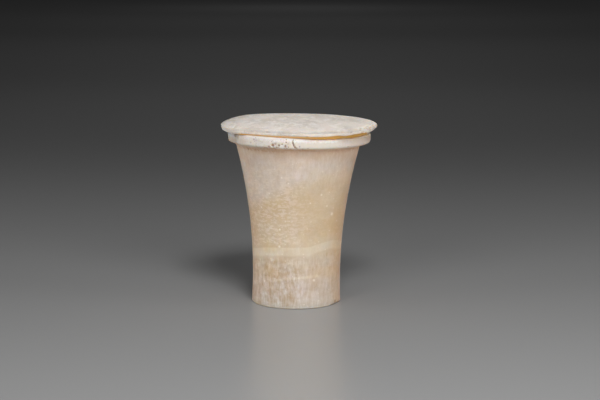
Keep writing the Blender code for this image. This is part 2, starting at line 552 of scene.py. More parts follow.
# %% Wear of the jar
RIM_WEAR = (-92.0, 38.0, 8.0)
RIM_WEAR_DEPTH = 0.0010
RIM_WEAR_ROUNDING = 0.0005
STEP_BACK = (-60.0, 13.0, 4.0)
STEP_BACK_DEPTH = 0.0005
TOP_WORN_RIGHT = (92.0, 36.0, 18.0)
TOP_WORN_RIGHT_DEPTH = 0.0007
TOP_WORN_HEIGHT = 0.0008
LIP_WIDTH = 0.0022
LIP_COURSE = (
    (-62, 0.0), (-50, 0.00035), (-43, 0.00100), (-30, 0.00110), (-20, 0.00095), (-8, 0.00085),
    (3, 0.00050), (12, 0.0), (30, -0.00030), (37, 0.00010), (46, -0.00030), (57, 0.0), (75, 0.0),
)
LOW_ROLL = (0.0020, 0.0042)
LOW_ROLL_COURSE = (
    (-140, 0.0), (-95, 0.0005), (-75, 0.0003), (-55, 0.0), (-42, 0.0001), (-18, 0.0001),
    (-12, 0.0004), (0, 0.0003), (8, 0.0004), (18, 0.0005), (40, 0.0005), (62, 0.0004),
    (80, 0.0003), (100, 0.0002), (134, 0.0),
)
FOOT_CHIP = (62.0, 18.0, 12.0)
FOOT_CHIP_DEPTH = 0.0003
FOOT_CHIP_HEIGHT = 0.0012
FOOT_CHIP_LIFT = 0.7
UNDERSIDE_MIDDLE = 0.018

# Each mark: bearing, height, size, stretch sideways, depth.
RIM_MARKS = (
    (-19.6, 0.0824, 0.0009, 1.3, 0.00060),
    (-17.4, 0.0829, 0.0005, 1.8, 0.00030),
    (-14.6, 0.0825, 0.0007, 1.3, 0.00040),
    (-12.2, 0.0829, 0.0005, 1.8, 0.00030),
    (-9.6, 0.0823, 0.0008, 1.1, 0.00045),
    (-7.6, 0.0831, 0.0005, 1.3, 0.00025),
    (-23.0, 0.0818, 0.0007, 1.5, 0.00025),
    (-26.5, 0.0822, 0.0006, 1.5, 0.00018),
    (-16.0, 0.0817, 0.0006, 1.4, 0.00028),
    (-10.6, 0.0815, 0.0006, 1.5, 0.00028),
    (-36.2, 0.0838, 0.0006, 1.9, 0.00026),
    (-39.2, 0.0828, 0.0006, 1.9, 0.00024),
    (-34.5, 0.0820, 0.0006, 1.9, 0.00014),
    (-31.5, 0.0834, 0.0005, 1.3, 0.00014),
    (33.0, 0.0822, 0.0005, 1.6, 0.00012),
    (-4.1, 0.0841, 0.0006, 0.7, 0.00035),
    (-3.9, 0.0834, 0.0008, 0.8, 0.00060),
    (-3.3, 0.0827, 0.0008, 0.8, 0.00060),
    (-2.4, 0.0820, 0.0007, 0.9, 0.00060),
)
print("marks on the rim:", len(RIM_MARKS))


# %% Carve the jar
def carve_rim(points):
    """Wears the rim back at -X, raises and lowers its lip and cuts the marks on its face."""
    kept = max(NECK_RADIUS, well_radius(JAR_HEIGHT) + MOUTH_EDGE)
    radius = radii(points)
    below = JAR_HEIGHT - points[:, 2]
    on_rim = (radius > kept) & (points[:, 2] > NECK_HEIGHT)
    outward = between(radius, kept, RIM_RADIUS) * on_rim
    depth = RIM_WEAR_DEPTH + RIM_WEAR_ROUNDING * below / RIM_HEIGHT
    depth = depth * sector(points, *RIM_WEAR) + STEP_BACK_DEPTH * sector(points, *STEP_BACK)
    for *place, mark_depth in RIM_MARKS:
        depth += mark_depth * hollow(points, *place)
    worn_top = between(below, TOP_WORN_HEIGHT, 0.0) * sector(points, *TOP_WORN_RIGHT)
    depth += TOP_WORN_RIGHT_DEPTH * worn_top
    lip = between(radius, RIM_RADIUS - LIP_WIDTH, RIM_RADIUS - RIM_TOP_EDGE) * on_rim
    lip *= between(below, RIM_FACE_HEIGHT, RIM_TOP_EDGE)
    rise = lip * along(points, LIP_COURSE)
    rise -= between(below, *LOW_ROLL) * outward * along(points, LOW_ROLL_COURSE)
    return moved(points, depth * outward, rise)


def chip_foot(points):
    """Takes a little off the foot's lower edge where it is chipped."""
    radius = radii(points)
    low = between(points[:, 2], FOOT_CHIP_HEIGHT, 0.0)
    low *= between(radius, UNDERSIDE_MIDDLE, FOOT_RADIUS)
    depth = FOOT_CHIP_DEPTH * low * sector(points, *FOOT_CHIP)
    return moved(points, depth, FOOT_CHIP_LIFT * depth)


turned_jar = read_points(jar.data)
jar_form = chip_foot(carve_rim(turned_jar))
print("deepest move on the jar in mm:", round(1000.0 * np.abs(jar_form - turned_jar).max(), 2))

# %% [markdown]
# ## The lid
# The lid is a disc that was never quite true. Its top falls away gently from the middle to the
# front, its top edge is rubbed down at the left and at the back, and it is chipped at the front
# left, at the far left and most of all along the right, where its side is broken too. Its lower
# arris wanders up and down by a course of its own, and the outer seat follows the course of the
# jar's lip, so that the two lie as close together as they were worn.

# %% Wear of the lid
# Each chip: bearing, half angle, depth.
LID_CHIPS = (
    (90.0, 34.0, 0.0016),
    (-20.0, 30.0, 0.0006),
    (-76.0, 30.0, 0.0008),
    (94.0, 26.0, 0.0020),
)
LID_CHIP_FADE_DEG = 14.0
ARRIS_COURSE = (
    (-125, 0.0), (-105, -0.00070), (-78, -0.00090), (-58, -0.00060), (-50, -0.00055),
    (-34, -0.00040), (-15, -0.00025), (3, -0.00020), (19, -0.00015), (29, 0.00025),
    (36, -0.00030), (45, 0.00030), (53, 0.00035), (62, -0.00015), (80, -0.00030),
    (100, -0.00030), (125, 0.0),
)
SEAT_LOWER = 0.0001
CROWN = (-20.0, 120.0, 70.0)
CROWN_DROP = 0.0009
CROWN_START = 0.010
TOP_WORN_LEFT = (-92.0, 40.0, 26.0)
TOP_WORN_BACK = (142.0, 80.0, 45.0)
TOP_WORN_DEPTH = 0.0004
SIDE_BROKEN_RIGHT = (88.0, 34.0, 16.0)
SIDE_BROKEN_DEPTH = 0.0004
SIDE_BROKEN_REACH = 0.0006

# Each mark: bearing, height, size, stretch sideways, depth.
LID_MARKS = (
    (58.8, 0.0899, 0.0009, 1.3, 0.00050),
    (65.7, 0.0896, 0.0008, 1.2, 0.00050),
    (72.0, 0.0886, 0.0010, 1.5, 0.00060),
    (80.0, 0.0894, 0.0009, 1.5, 0.00040),
)
print("chips and marks on the lid:", len(LID_CHIPS) + len(LID_MARKS))


# %% Carve the lid
def carve_lid(points):
    """Chips the lid's edges, clears its seat, wears its top edge and lays it off centre."""
    seat = LID_UNDERSIDE
    top = seat + LID_THICKNESS
    side_bottom = seat + LID_UNDERCUT_RISE + LID_SIDE_RISE
    seat_edge = LID_RADIUS - LID_UNDERCUT
    radius = radii(points)
    height = points[:, 2]
    above_boss = height > seat - 0.5 * LID_GAP
    edge = (radius > seat_edge - 1e-5) & (height < side_bottom)
    lowness = np.clip((side_bottom - height) / (side_bottom - seat), 0.0, 1.0) * edge
    depth = np.zeros(len(points))
    for bearing, half_angle, chip_depth in LID_CHIPS:
        depth += chip_depth * sector(points, bearing, half_angle, LID_CHIP_FADE_DEG) * lowness
    side = between(radius, LID_RADIUS - LID_TOP_EDGE_WIDTH, LID_RADIUS)
    broken = between(height, side_bottom + SIDE_BROKEN_REACH, seat + LID_UNDERCUT_RISE)
    depth += SIDE_BROKEN_DEPTH * side * broken * sector(points, *SIDE_BROKEN_RIGHT)
    for *place, mark_depth in LID_MARKS:
        depth += mark_depth * hollow(points, *place) * side
    rise = along(points, ARRIS_COURSE) * ease(4.0 * lowness * (1.0 - lowness))
    under = between(radius, seat_edge - LIP_WIDTH, seat_edge)
    under *= between(height, side_bottom, seat) * above_boss
    rise += (along(points, LIP_COURSE) - SEAT_LOWER) * under
    crown_width = LID_RADIUS - LID_TOP_EDGE_WIDTH - CROWN_START
    fall = np.maximum((radius - CROWN_START) / crown_width, 0.0) ** 2
    fall *= np.clip((height - side_bottom) / (top - side_bottom), 0.0, 1.0)
    rise -= CROWN_DROP * fall * sector(points, *CROWN)
    rounding = between(radius, LID_RADIUS - 2.0 * LID_TOP_EDGE_WIDTH, LID_RADIUS)
    rounding *= between(height, side_bottom, top - 0.5 * LID_TOP_EDGE_DROP)
    worn = sector(points, *TOP_WORN_LEFT) + sector(points, *TOP_WORN_BACK)
    form = moved(points, depth, rise - TOP_WORN_DEPTH * rounding * worn)
    form[:, 0] += LID_SHIFT * above_boss * np.minimum(radius / LID_RADIUS, 1.0)
    return form


turned_lid = read_points(lid.data)
lid_form = carve_lid(turned_lid)
print("deepest move on the lid in mm:", round(1000.0 * np.abs(lid_form - turned_lid).max(), 2))

# %% [markdown]
# ## Where the finishes lie
# The stone changes along the surface. The rim is chalky in front, with a painted highlight and a
# thin painted glow along its lip. The hollow under it is painted dark as painted shade, with some
# dirt, and the neck below has a faint painted glow in its shade. Brown stains sit at the rim's worn
# end, and the lid's thin edge is painted amber with a glow, for light that comes through. A
# material could find such places from coordinates alone, but the sectors and courses are already
# at hand here, so each finish is stored as a number for every point, and the materials read it by
# name. The number "sideways" grows from the front to the jar's sides, where painted light makes
# the stone warmer and brighter, and it is fixed on the surface, so it stays right from every side.

# %% Places of the jar's finishes
# Limits in metres: "below" the jar's top, "inset" from the rim's face, and "x" to the right.
JAR_ZONES = {
    "outside": (("radius", 0.0325, 0.0354),),
    "side chalk": (("below", 0.0060, 0.0035),),
    "chalk": (("below", 0.0046, 0.0038),),
    "lip": (("below", 0.0024, 0.0006),),
    "lip line": (("below", 0.0014, 0.0005),),
    "left end": (("below", 0.0028, 0.0018),),
    "beside lip": (("below", 0.0048, 0.0036),),
    "lip edge": (("inset", 0.0014, 0.0006),),
    "dirt_and_shade": (("below", 0.0063, 0.0052), ("below", 0.0035, 0.0041)),
    "faint dirt": (("below", 0.0084, 0.0065), ("below", 0.0031, 0.0047)),
    "under rim": (("inset", 0.0010, 0.0018),),
    "low left": (("below", 0.0019, 0.0031),),
    "shade": (("below", 0.0148, 0.0068), ("inset", 0.0006, 0.0026)),
    "shade left": (("x", -0.022, -0.004),),
    "shade right": (("x", 0.018, 0.030),),
    "pitted": (("radius", 0.0317, 0.0329),),
    "pitted edge": (("below", 0.0024, 0.0040),),
}
CHALK = (-5.0, 45.0, 7.0)
LEFT_END_OF_LIP = (-43.0, 9.0, 5.0)
BESIDE_LIP = (-53.0, 8.0, 4.0)
LOW_LEFT = (-60.0, 23.0, 8.0)
PITTED_FRONT = (-16.0, 24.0, 12.0)
SIDE_CHALK_COURSE = ((-180, 0.35), (-60, 0.50), (0, 0.40), (50, 0.38), (72, 0.38), (180, 0.35))
LIP_HIGHLIGHT_COURSE = ((-45, 1.0), (0, 0.9), (8, 0.55), (26, 0.60), (36, 0.15), (48, 0.1))
LIP_GLOW_COURSE = ((-51, 0.0), (-45, 0.9), (-35, 1.0), (-18, 1.0), (-5, 0.7), (6, 0.0))
DIRT_AND_SHADE_COURSE = (
    (-180, 0.3), (-80, 0.3), (-62, 0.5), (-46, 0.6), (-30, 0.8), (-5, 1.0), (12, 1.0),
    (50, 0.9), (68, 0.6), (180, 0.3),
)
FAINT_DIRT_AND_SHADE_COURSE = (
    (-180, 0.15), (-75, 0.30), (-50, 0.60), (-35, 0.60), (-18, 0.45), (-5, 0.20), (5, 0.10),
    (15, 0.15), (35, 0.40), (55, 0.60), (78, 0.50), (100, 0.25), (180, 0.15),
)
# Each stain: bearing, height, size, stretch sideways, strength.
STAINS = (
    (-62.5, 0.0849, 0.0018, 1.6, 0.7),
    (-57.0, 0.0849, 0.0020, 1.5, 1.0),
    (-54.8, 0.0842, 0.0020, 1.1, 0.45),
    (-51.7, 0.0788, 0.0011, 1.1, 0.6),
    (60.7, 0.0014, 0.0012, 1.4, 1.0),
    (-33.9, 0.0836, 0.0007, 1.4, 0.35),
    (-28.5, 0.0832, 0.0007, 1.2, 0.3),
)
DEEP_MARK = 0.0005
LIP_END_GLOW_STRENGTH = 0.35
LOW_LEFT_SHADE_STRENGTH = 0.35
NECK_GLOW_LEFT_LOSS = 0.6
NECK_GLOW_RIGHT_LOSS = 0.45
PITS_ELSEWHERE = 0.06
# How much "sideways" is at the jar's sides and how much less in front: at the waist, and what
# the flare adds up to the neck.
SIDEWAYS_AT_SIDES = (1.03, 0.04)
SIDEWAYS_LESS_IN_FRONT = (0.985, -0.03)
print("zones on the jar:", len(JAR_ZONES))


# %% Paint the jar's finishes
def paint(mesh, finishes):
    """Stores each finish as a number for every point, under its name."""
    for name, values in finishes.items():
        layer = mesh.attributes.new(name, "FLOAT", "POINT")
        layer.data.foreach_set("value", np.ascontiguousarray(values, dtype=np.float32))
        print(name, "on", int((values > 0.5).sum()), "points of", mesh.name)


def strongest(points, spots):
    """The strongest of many round spots at each point, each (place..., strength)."""
    return np.max([strength * hollow(points, *place) for *place, strength in spots], axis=0)


def jar_finishes(points):
    """Where the jar is chalky, dirty, stained, marked and pitted, and where light and shade are
    painted.
    """
    radius = radii(points)
    height = points[:, 2]
    where = {
        "radius": radius, "x": points[:, 0],
        "below": JAR_HEIGHT - height, "inset": RIM_RADIUS - radius,
    }
    zone = {name: masked(between, where, limits) for name, limits in JAR_ZONES.items()}
    above_neck = height > NECK_HEIGHT
    outside = zone["outside"] * above_neck
    chalk = np.maximum(
        sector(points, *CHALK), along(points, SIDE_CHALK_COURSE) * zone["side chalk"]
    )
    lip_ends = np.maximum(
        zone["left end"] * sector(points, *LEFT_END_OF_LIP),
        zone["beside lip"] * sector(points, *BESIDE_LIP),
    )
    # Painted highlight: a thin line at the top of the rim's face glows, and the lip's left end glows
    # more faintly.
    lip_glow = zone["lip line"] * along(points, LIP_GLOW_COURSE)
    lip_glow = np.maximum(lip_glow, LIP_END_GLOW_STRENGTH * lip_ends)
    # Painted shade with some dirt: dark brown in the hollow under the rim, fainter lower on the neck,
    # and on the roll's lower edge at the left.
    dirt_and_shade = zone["under rim"] * np.maximum(
        zone["dirt_and_shade"] * along(points, DIRT_AND_SHADE_COURSE),
        zone["faint dirt"] * along(points, FAINT_DIRT_AND_SHADE_COURSE),
    )
    low_left = zone["low left"] * sector(points, *LOW_LEFT)
    # Painted light: the shade on the neck under the rim gets a faint glow, weaker at the left and
    # right.
    shade = zone["shade"] * (1.0 - NECK_GLOW_RIGHT_LOSS * zone["shade right"])
    shade *= 1.0 - NECK_GLOW_LEFT_LOSS * (1.0 - zone["shade left"])
    flare = np.clip((height - WAIST_HEIGHT) / (NECK_HEIGHT - WAIST_HEIGHT), 0.0, 1.0)
    towards_front = np.abs(points[:, 1]) / np.maximum(radius, 1e-9)
    at_sides, less = [low + more * flare for low, more in (SIDEWAYS_AT_SIDES, SIDEWAYS_LESS_IN_FRONT)]
    marks = [(*place, min(depth / DEEP_MARK, 1.0)) for *place, depth in RIM_MARKS]
    pits = zone["pitted"] * above_neck * (height < JAR_HEIGHT - RIM_TOP_EDGE)
    for share in (zone["pitted edge"], sector(points, *PITTED_FRONT)):
        pits = pits * (PITS_ELSEWHERE + (1.0 - PITS_ELSEWHERE) * share)
    return {
        "chalk": outside * chalk * zone["chalk"],
        "lip": zone["lip"] * outside * along(points, LIP_HIGHLIGHT_COURSE),
        "lip line": lip_glow * zone["lip edge"],
        "dirt_and_shade": np.maximum(dirt_and_shade, LOW_LEFT_SHADE_STRENGTH * low_left * outside),
        "shade": shade,
        "sideways": at_sides - less * towards_front,
        "stain": strongest(points, STAINS) * (radius > UNDERSIDE_MIDDLE),
        "marks": strongest(points, marks) * outside,
        "pit zone": pits,
    }


paint(jar.data, jar_finishes(turned_jar))

# %% Places of the lid's finishes
# Limits in metres: "above" the lid's lower arris, "inset" from its side, "x" and "y".
LID_ZONES = {
    "seam": (("inset", 0.0055, 0.0033), ("above", 0.0003, 0.0)),
    "side": (("inset", 0.0030, 0.0010),),
    "thin": (("above", 0.0024, 0.0004),),
    "roll": (("above", 0.0003, 0.0024), ("above", 0.0040, 0.0026)),
    "top ring": (("inset", 0.0075, 0.0045),),
    "left top": (("x", -0.017, -0.025), ("y", -0.014, -0.004)),
    "left end": (("x", -0.0295, -0.0340),),
    "right end": (("x", 0.027, 0.034),),
}
ROLL_SHADE_WIDTH = 0.0036
ROLL_SHADE_STRENGTH = 1.95
TOP_RING_SHADE_STRENGTH = 0.3
LEFT_TOP_STRENGTH = 0.55
LEFT_END_STRENGTH = 0.6
RIGHT_END_STRENGTH = 0.4
LID_PITS_ELSEWHERE = 0.05
RING_BOTTOM = 0.0016
TOP_BOTTOM = 0.0028
PITTED_RIGHT = (74.0, 28.0, 12.0)
SEAM_COURSE = ((-56, 0.0), (-48, 1.0), (72, 1.0), (82, 0.0))
# How strong the painted shade on the lid's rolled edge is at each bearing.
ROLL_COURSE = (
    (-180, 0.6), (-85, 0.25), (-55, 0.35), (-40, 0.85), (-27, 1.15), (-17, 1.15), (-7, 1.0),
    (3, 0.92), (13, 1.2), (23, 1.2), (34, 1.0), (47, 0.95), (62, 0.75), (80, 0.5), (110, 0.4),
    (180, 0.6),
)
print("zones on the lid:", len(LID_ZONES))


# %% Paint the lid's finishes
def lid_finishes(points):
    """Where the lid's rolled edge gets painted shade, its seam and thin side a painted glow, with
    marks and pits.
    """
    height = points[:, 2]
    inset = LID_RADIUS - radii(points)
    above = height - LID_UNDERSIDE - LID_UNDERCUT_RISE
    where = {"inset": inset, "above": above, "x": points[:, 0], "y": points[:, 1]}
    zone = {name: masked(between, where, limits) for name, limits in LID_ZONES.items()}
    # Painted shade: the roll number darkens the rolled top edge, where the key light would make a
    # highlight, and more faintly a ring inside it. It also makes the left top and left end darker and
    # the right end lighter.
    roll = ROLL_SHADE_STRENGTH * zone["roll"] * (inset < ROLL_SHADE_WIDTH)
    roll = np.maximum(roll, TOP_RING_SHADE_STRENGTH * zone["top ring"] * (above > RING_BOTTOM))
    roll *= along(points, ROLL_COURSE)
    roll += LEFT_TOP_STRENGTH * zone["left top"] * (above > TOP_BOTTOM)
    roll += LEFT_END_STRENGTH * zone["left end"] - RIGHT_END_STRENGTH * zone["right end"]
    above_boss = height > LID_UNDERSIDE - 0.5 * LID_GAP
    marks = [(*place, 1.0) for *place, depth in LID_MARKS]
    pits = LID_PITS_ELSEWHERE + (1.0 - LID_PITS_ELSEWHERE) * sector(points, *PITTED_RIGHT)
    return {
        "roll": roll,
        "seam": zone["seam"] * above_boss * along(points, SEAM_COURSE),
        "thin": zone["side"] * zone["thin"],
        "marks": strongest(points, marks) * zone["side"],
        "pit zone": zone["side"] * pits,
    }


paint(lid.data, lid_finishes(turned_lid))

# %% Put the carved and leaned forms into the meshes
for piece, form in ((jar, jar_form), (lid, lid_form)):
    piece.data.vertices.foreach_set("co", leaned(form).ravel())
    piece.data.update()
    print(piece.name, "carved and leaned")

# %% [markdown]
# ## Pits scattered over worn stone
# Travertine is full of tiny holes that open where the surface is worn. Hundreds of Boolean cuts
# would be slow and fragile. A Geometry Nodes tree scatters points over the places that were
# painted as pitted, finds the nearest one for every point of the mesh, and presses the mesh in by
# a round hollow. How deep each point lies is stored, so that the material can darken the pits.


# %% Tree that scatters pits
def pitting_tree():
    """Presses scattered round pits into the part of a mesh that an attribute selects."""
    inputs = {
        "Stone": ("Geometry", None),
        "Pits Per Square Metre": ("Float", 100000.0),
        "Smallest": ("Float", 0.0003),
        "Largest": ("Float", 0.0008),
        "Depth Share": ("Float", 0.4),
        "Seed": ("Int", 0),
        "Finish": ("Material", None),
    }
    given, result = new_tree(
        "open pores", "GeometryNodeTree", inputs, {"Pitted Stone": "Geometry"}
    )
    tree = given.tree
    stone = given["Stone"]
    zone = add_node(tree, "GeometryNodeInputNamedAttribute", {"Name": "pit zone"})
    density = zone * given["Pits Per Square Metre"]
    inputs = {"Mesh": stone, "Density": density, "Seed": given["Seed"]}
    scatter = add_node(tree, "GeometryNodeDistributePointsOnFaces", inputs)["Points"]
    inputs = {"Min": given["Smallest"], "Max": given["Largest"], "Seed": given["Seed"]}
    size = add_node(tree, "FunctionNodeRandomValue", inputs)["Value"]
    place = add_node(tree, "GeometryNodeInputPosition")
    nearest = add_node(
        tree, "GeometryNodeSampleNearest", {"Geometry": scatter}, domain="POINT"
    )
    sample = {"Geometry": scatter, "Index": nearest}
    middle = add_node(
        tree, "GeometryNodeSampleIndex", {**sample, "Value": place}, data_type="FLOAT_VECTOR"
    )
    reach = add_node(tree, "GeometryNodeSampleIndex", {**sample, "Value": size})
    inputs = {0: place, 1: middle}
    distance = add_node(tree, "ShaderNodeVectorMath", inputs, operation="DISTANCE")["Value"]
    share = distance / reach
    inside = (share * share).maths("MULTIPLY_ADD", -1.0, 1.0).maths("MAXIMUM", 0.0)
    pit = inside * inside
    pressed = pressed_in(stone, pit * reach * given["Depth Share"])
    inputs = {"Geometry": pressed, "Name": "pit", "Value": pit}
    stored = add_node(tree, "GeometryNodeStoreNamedAttribute", inputs)
    end_tree(stored, given["Finish"], result)
    return tree


pitting = pitting_tree()
print("pitting tree:", len(pitting.nodes), "nodes")


# %% Open the pores
def open_pores(piece, **inputs):
    """Runs the pitting tree on a piece."""
    run_tree(piece, pitting, **inputs)
    piece.data.shade_smooth()
    pitted = np.empty(len(piece.data.vertices), dtype=np.float32)
    piece.data.attributes["pit"].data.foreach_get("value", pitted)
    print(piece.name, "pitted points:", int((pitted > 0.2).sum()))


open_pores(
    jar, finish=jar_stone, pits_per_square_metre=1000000.0,
    smallest=0.0003, largest=0.0007, depth_share=0.40, seed=5,
)
open_pores(
    lid, finish=lid_stone, pits_per_square_metre=500000.0,
    smallest=0.0004, largest=0.0012, depth_share=0.35, seed=11,
)

# %% [markdown]
# ## Patterns of the stone
# Travertine has a few patterns that come back at many places: a cloudy grain, fibres of crystal
# that stand across the layers, pale flakes and small white flecks. Each is a node group with
# named inputs, built once. The groups put out only masks and values that change over the
# surface. Plain numbers stay on each material's own shader.


# %% Helpers for shader trees
def soft_step(value, start, end, low=0.0, high=1.0):
    """A value that runs softly from low to high as the given value runs from start to end."""
    inputs = {"Value": value, "From Min": start, "From Max": end, "To Min": low, "To Max": high}
    node = add_node(value.tree, "ShaderNodeMapRange", inputs, interpolation_type="SMOOTHSTEP")
    return node["Result"]


def blend_colours(share, first, second, mode="MIX"):
    """Mixes two colours; each is a value or a plain (red, green, blue)."""
    inputs = {0: share, 6: first, 7: second}
    tree = [value.tree for value in inputs.values() if isinstance(value, Value)][0]
    return add_node(tree, "ShaderNodeMix", inputs, data_type="RGBA", blend_type=mode)[2]


def tinted(colour, value, strengths):
    """A colour made lighter or darker by a value, with a strength for each channel."""
    shares = [value.maths("MULTIPLY_ADD", strength, 1.0) for strength in strengths]
    tint = add_node(colour.tree, "ShaderNodeCombineColor", dict(enumerate(shares)))
    return blend_colours(1.0, colour, tint, "MULTIPLY")


def attribute(tree, name):
    """The number stored for each point under a name."""
    return add_node(tree, "ShaderNodeAttribute", attribute_name=name)["Fac"]


def stretched(place, scale):
    """A place scaled along each axis, which stretches the pattern the other way."""
    return add_node(place.tree, "ShaderNodeVectorMath", {0: place, 1: scale}, operation="MULTIPLY")


def noise(place, scale, detail=2.0, roughness=0.5, distortion=0.0):
    """A noise pattern between 0 and 1."""
    inputs = {"Vector": place, "Scale": scale, "Detail": detail}
    inputs.update({"Roughness": roughness, "Distortion": distortion})
    return add_node(place.tree, "ShaderNodeTexNoise", inputs)["Fac"]


print("shader helpers ready")


# %% Cloudy grain, fibres, flakes and flecks
def pattern(name, inputs, outputs):
    """An empty node group for a pattern, with a place and some numbers as its inputs."""
    numbers = {label: ("Float", value) for label, value in inputs.items()}
    return new_tree(
        name,
        "ShaderNodeTree",
        {"Place": ("Vector", None), **numbers},
        {label: "Float" for label in outputs},
    )


def upright(given):
    """The group's place, stretched upwards or sideways by its own two scales."""
    inputs = {"X": given["Across"], "Y": given["Across"], "Z": given["Along"]}
    return stretched(given["Place"], add_node(given.tree, "ShaderNodeCombineXYZ", inputs))


def grain_group():
    """Cloudy mottling at two sizes, and a fine height for the bump."""
    given, result = pattern("stone grain", {"Cloud Scale": 120.0}, ["Tone", "Height"])
    clouds = noise(given["Place"], given["Cloud Scale"], 3.0, 0.55, 0.4)
    grit = noise(given["Place"], 1900.0, 2.0, 0.6)
    fill(result, {"Tone": grit * 0.35 + clouds * 0.65, "Height": grit})
    return given.tree


def fibre_group():
    """Crystal fibres that stand upright, across the layers of the stone."""
    given, result = pattern("crystal fibres", {"Across": 520.0, "Along": 150.0}, ["Fibres"])
    fibres = noise(upright(given), 1.0, 3.0, 0.65, 0.3)
    fill(result, {"Fibres": soft_step(fibres, 0.36, 0.66)})
    return given.tree


def flake_group():
    """Pale flakes, wider than tall, that overlap like scales."""
    given, result = pattern("pressed flakes", {"Across": 620.0, "Along": 1450.0}, ["Flakes"])
    spread = upright(given)
    wisps = soft_step(noise(spread, 0.6, 4.0, 0.7, 0.6), 0.42, 0.62)
    cells = add_node(given.tree, "ShaderNodeTexVoronoi", {"Vector": spread, "Scale": 0.8})
    scales = soft_step(cells["Distance"], 0.70, 0.20)
    fill(result, {"Flakes": scales * 0.30 + wisps * 0.70})
    return given.tree


def fleck_group():
    """Small white flecks of crystal, in some cells of a loose scatter only."""
    numbers = {"Scale": 420.0, "Size": 0.2, "Share": 0.3}
    given, result = pattern("white flecks", numbers, ["Flecks"])
    inputs = {"Vector": given["Place"], "Scale": given["Scale"]}
    cells = add_node(given.tree, "ShaderNodeTexVoronoi", inputs)
    spot = soft_step(cells["Distance"], given["Size"], 0.0)
    pick = add_node(given.tree, "ShaderNodeSeparateColor", {0: cells["Color"]})
    fill(result, {"Flecks": spot * pick.maths("LESS_THAN", given["Share"])})
    return given.tree


grain = grain_group()
fibre = fibre_group()
flake = flake_group()
fleck = fleck_group()
print("patterns:", grain.name, fibre.name, flake.name, fleck.name)


# %% Use a group in a material
def use_group(place, group, **inputs):
    """Puts a pattern into a material and gives its first output."""
    numbers = {label_of(name): value for name, value in inputs.items()}
    return add_node(place.tree, "ShaderNodeGroup", {"Place": place, **numbers}, node_tree=group)


def start_material(material, plain):
    """Sets a shader's plain inputs; gives the shader and the material's Object coordinates."""
    material.use_nodes = True
    shader = material.node_tree.nodes["Principled BSDF"]
    fill(shader, plain)
    return shader, add_node(material.node_tree, "ShaderNodeTexCoord")["Object"]


print("materials to fill:", jar_stone.name, lid_stone.name)

# %% [markdown]
# ## The banded stone of the jar
# The layers of the block run through the whole jar as nearly level sheets that rise a little
# towards the front, with one step up at the right. So their height is worked out from
# Object coordinates, as height plus a share of the depth, and a colour ramp runs up it: grey
# cream at the foot, tan, a pale band, honey, and pinkish grey below the rim. A table holds where
# each change starts and ends: along X or Z, up the layers, or by how far the surface turns
# sideways. Two more numbers give its strength at both ends, where that isn't 0 and 1.

# %% Layers and zones of the banded stone
LAYER_RISE = 0.20
LAYER_WOBBLE = 0.0022
STEP_HEIGHT = 0.0036
THIN_LINE_HEIGHT = 0.0112
THIN_LINE_SLOPE = 0.11
PINK_SLOPE = 0.38
RAMP_TOP = 0.09
LAYER_COLOURS = (
    (0.000, (0.56, 0.48, 0.41)),
    (0.010, (0.58, 0.48, 0.39)),
    (0.019, (0.60, 0.49, 0.37)),
    (0.027, (0.62, 0.51, 0.37)),
    (0.040, (0.61, 0.48, 0.33)),
    (0.056, (0.60, 0.48, 0.34)),
    (0.074, (0.61, 0.52, 0.43)),
    (0.086, (0.59, 0.50, 0.42)),
)
BAND_COLOUR = (0.68, 0.60, 0.48)
PINK_COLOUR = (0.62, 0.53, 0.46)
LEFT_SIDE = (("X", -0.002, -0.016), ("Z", 0.008, 0.030, 0.70, 1.0))
STONE_ZONES = {
    "step": (("X", 0.0050, 0.0175), ("Z", 0.060, 0.036)),
    "thin line": (("X", 0.0125, 0.0095), ("X", -0.0125, -0.0085)),
    "band": (("layer", 0.0216, 0.0232), ("layer", 0.0268, 0.0260, 0.0, 0.85)),
    "below band": (("layer", 0.0224, 0.0193), ("X", -0.004, 0.008, 1.3, 0.75)),
    "near rim": (("layer", 0.050, 0.062, 0.20, 0.55),),
    "flakes": (
        ("layer", 0.0264, 0.0294), ("layer", 0.074, 0.050, 0.35, 1.0), ("X", 0.010, -0.007, 0.22, 1.0)
    ),
    "foot": (("Z", 0.0013, 0.0005, 0.0, 0.6),),
    "contact": (("Z", 0.00040, 0.00012, 0.0, 0.7),),
    "warm side": (
        ("sideways", 0.15, 0.75), ("Z", 0.062, 0.046, 0.55, 1.0), ("X", -0.016, -0.004, 0.6, 1.0)
    ),
    "left side": (("sideways", 0.15, 0.75), *LEFT_SIDE),
    "left edge": (
        ("sideways", 0.35, 0.74), *LEFT_SIDE, ("Z", 0.052, 0.064, 0.35, 1.0), ("Z", 0.077, 0.071)
    ),
    "right edge": (("sideways", 0.25, 0.55), ("X", 0.0, 0.010), ("Z", 0.056, 0.066)),
    "outline": (("sideways", 0.64, 0.84), ("X", -0.012, 0.004, 0.55, 1.0)),
    "rust": (("X", 0.002, -0.008, 0.25, 1.0),),
}
print("zones in the banded stone:", len(STONE_ZONES))


# %% Colours of the layers
def stone_zone(where, name):
    """How far a place lies in one of the zones of the banded stone."""
    return masked(soft_step, where, STONE_ZONES[name])


def layered(place):
    """The named measures of each place: along X and Z, up the layers, and sideways."""
    axes = add_node(place.tree, "ShaderNodeSeparateXYZ", {0: place})
    wobble = noise(place, 70.0, 2.0, 0.5) - 0.5
    level = axes["Y"] * LAYER_RISE + axes["Z"] + wobble * LAYER_WOBBLE
    where = {"X": axes["X"], "Z": axes["Z"], "level": level}
    where["layer"] = level - stone_zone(where, "step") * STEP_HEIGHT
    where["sideways"] = attribute(place.tree, "sideways")
    return where


